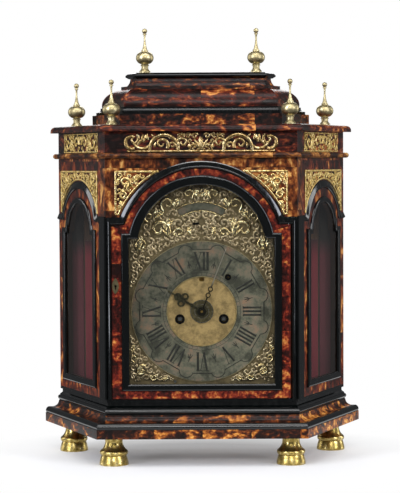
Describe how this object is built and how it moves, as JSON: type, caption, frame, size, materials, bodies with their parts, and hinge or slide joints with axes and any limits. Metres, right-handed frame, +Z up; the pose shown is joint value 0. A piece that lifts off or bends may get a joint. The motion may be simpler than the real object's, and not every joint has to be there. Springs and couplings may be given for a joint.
{
  "type": "table clock",
  "caption": "Table clock in a tortoiseshell and ebonised case with a stepped bell top, arched glazed door, canted sides, brass dial, movement, bell and pendulum.",
  "frame": {"origin": "bottom centre of the bounding box: under the middle of the case on the surface that the feet stand on", "axes": "+X to the right of someone who faces the dial, +Y to the back, +Z up"},
  "size_m": [0.4552, 0.183, 0.5997],
  "materials": {
    "tortoiseshell": "mottled red tortoiseshell veneer on a wooden carcase, polished",
    "ebonised": "ebonised pearwood moulding, polished",
    "carcase_oak": "plain dark oak, waxed",
    "cast_brass": "turned and polished cast brass",
    "gilt_brass": "pierced and chased gilt brass",
    "matted_brass": "matted brass with age tone",
    "silvered_brass": "old silvering on brass, dulled",
    "train_brass": "planished and cut brass",
    "blued_steel": "dark blued steel",
    "bright_steel": "polished steel",
    "bell_metal": "turned bell metal",
    "window_glass": "thin clear drawn glass",
    "crimson_silk": "crimson silk on card"
  },
  "bodies": {
    "case": {"feet": "cast_brass", "base_board": "tortoiseshell", "base_bead": "ebonised", "base_cavetto": "tortoiseshell", "plinth_moulding": "ebonised", "front_frame": "tortoiseshell", "door_surround": "ebonised", "side_panel_left": "tortoiseshell", "side_panel_right": "tortoiseshell", "side_window_frames": "ebonised", "side_arch_mouldings": "ebonised", "side_glasses": "window_glass", "corner_mouldings": "ebonised", "back_frame": "carcase_oak", "top_band": "tortoiseshell", "frieze_board": "tortoiseshell", "cornice": "tortoiseshell", "bell_block": "tortoiseshell", "bell_step": "ebonised", "bell_dome": "tortoiseshell", "bell_cove": "tortoiseshell", "top_slab": "ebonised", "finials": "cast_brass", "front_frieze_mount": "gilt_brass", "side_frieze_mounts": "gilt_brass", "front_spandrel_mounts": "gilt_brass", "side_spandrel_mounts": "gilt_brass", "hinge_pins": "bright_steel", "dial_plate": "matted_brass", "chapter_ring": "silvered_brass", "dial_foliage": "gilt_brass", "name_plaque": "silvered_brass", "seat_bench": "carcase_oak", "front_plate": "train_brass", "back_plate": "train_brass", "plate_pillars": "train_brass", "bell": "bell_metal", "bell_stand": "bright_steel"},
    "front_door": {"door_frame": "tortoiseshell", "door_sight_moulding": "ebonised", "door_glass": "window_glass", "door_escutcheon": "cast_brass"},
    "rear_door": {"rear_door": "carcase_oak", "rear_glass": "window_glass", "silk_linings": "crimson_silk"},
    "minute_arbor": {"minute_hand": "blued_steel", "centre_wheel": "train_brass"},
    "hour_pipe": {"hour_hand": "blued_steel", "hour_wheel": "train_brass", "alarm_disc": "blued_steel"},
    "motion_wheel": {"minute_wheel": "train_brass"},
    "third_arbor": {"third_wheel": "train_brass"},
    "escape_arbor": {"escape_wheel": "train_brass"},
    "going_great_wheel": {"going_barrel": "train_brass"},
    "strike_great_wheel": {"strike_barrel": "train_brass"},
    "going_winder": {"going_arbor": "bright_steel"},
    "strike_winder": {"strike_arbor": "bright_steel"},
    "pendulum": {"anchor": "bright_steel", "pendulum": "train_brass"},
    "hammer": {"hammer": "bright_steel"}
  },
  "joints": [
    {"name": "front_door_hinge", "type": "hinge", "parent": "case", "child": "front_door", "pos_m": [0.11911, -0.0685, 0.091], "axis": [0, 0, 1], "range_deg": [0, 95]},
    {"name": "rear_door_hinge", "type": "hinge", "parent": "case", "child": "rear_door", "pos_m": [0.16641, 0.0875, 0.097], "axis": [0, 0, 1], "range_deg": [-95, 0]},
    {"name": "minute_spin", "type": "hinge", "parent": "case", "child": "minute_arbor", "pos_m": [0, -0.0315, 0.2097], "axis": [0, 1, 0], "continuous": true},
    {"name": "hour_spin", "type": "hinge", "parent": "case", "child": "hour_pipe", "pos_m": [0, -0.0315, 0.2097], "axis": [0, 1, 0], "continuous": true},
    {"name": "motion_spin", "type": "hinge", "parent": "case", "child": "motion_wheel", "pos_m": [-0.01206, -0.0315, 0.22176], "axis": [0, 1, 0], "continuous": true},
    {"name": "third_spin", "type": "hinge", "parent": "case", "child": "third_arbor", "pos_m": [0, -0.0315, 0.2392], "axis": [0, 1, 0], "continuous": true},
    {"name": "escape_spin", "type": "hinge", "parent": "case", "child": "escape_arbor", "pos_m": [0, -0.0315, 0.26112], "axis": [0, 1, 0], "continuous": true},
    {"name": "going_spin", "type": "hinge", "parent": "case", "child": "going_great_wheel", "pos_m": [-0.03, -0.0315, 0.199], "axis": [0, 1, 0], "continuous": true},
    {"name": "strike_spin", "type": "hinge", "parent": "case", "child": "strike_great_wheel", "pos_m": [0.03, -0.0315, 0.199], "axis": [0, 1, 0], "continuous": true},
    {"name": "going_winding", "type": "hinge", "parent": "case", "child": "going_winder", "pos_m": [-0.03, -0.0315, 0.199], "axis": [0, 1, 0], "continuous": true},
    {"name": "strike_winding", "type": "hinge", "parent": "case", "child": "strike_winder", "pos_m": [0.03, -0.0315, 0.199], "axis": [0, 1, 0], "continuous": true},
    {"name": "pendulum_swing", "type": "hinge", "parent": "case", "child": "pendulum", "pos_m": [0, -0.0315, 0.28262], "axis": [0, 1, 0], "range_deg": [-4, 4]},
    {"name": "hammer_swing", "type": "hinge", "parent": "case", "child": "hammer", "pos_m": [-0.0344, -0.0315, 0.262], "axis": [0, 1, 0], "range_deg": [-12, 1.2], "stiffness_Nm_per_rad": 0.03}
  ],
  "couplings": [
    {"joint": "hour_spin", "follows": "minute_spin", "ratio": 0.083333},
    {"joint": "motion_spin", "follows": "minute_spin", "ratio": -0.33333},
    {"joint": "third_spin", "follows": "minute_spin", "ratio": -12},
    {"joint": "escape_spin", "follows": "minute_spin", "ratio": 144},
    {"joint": "going_spin", "follows": "minute_spin", "ratio": -0.125}
  ]
}
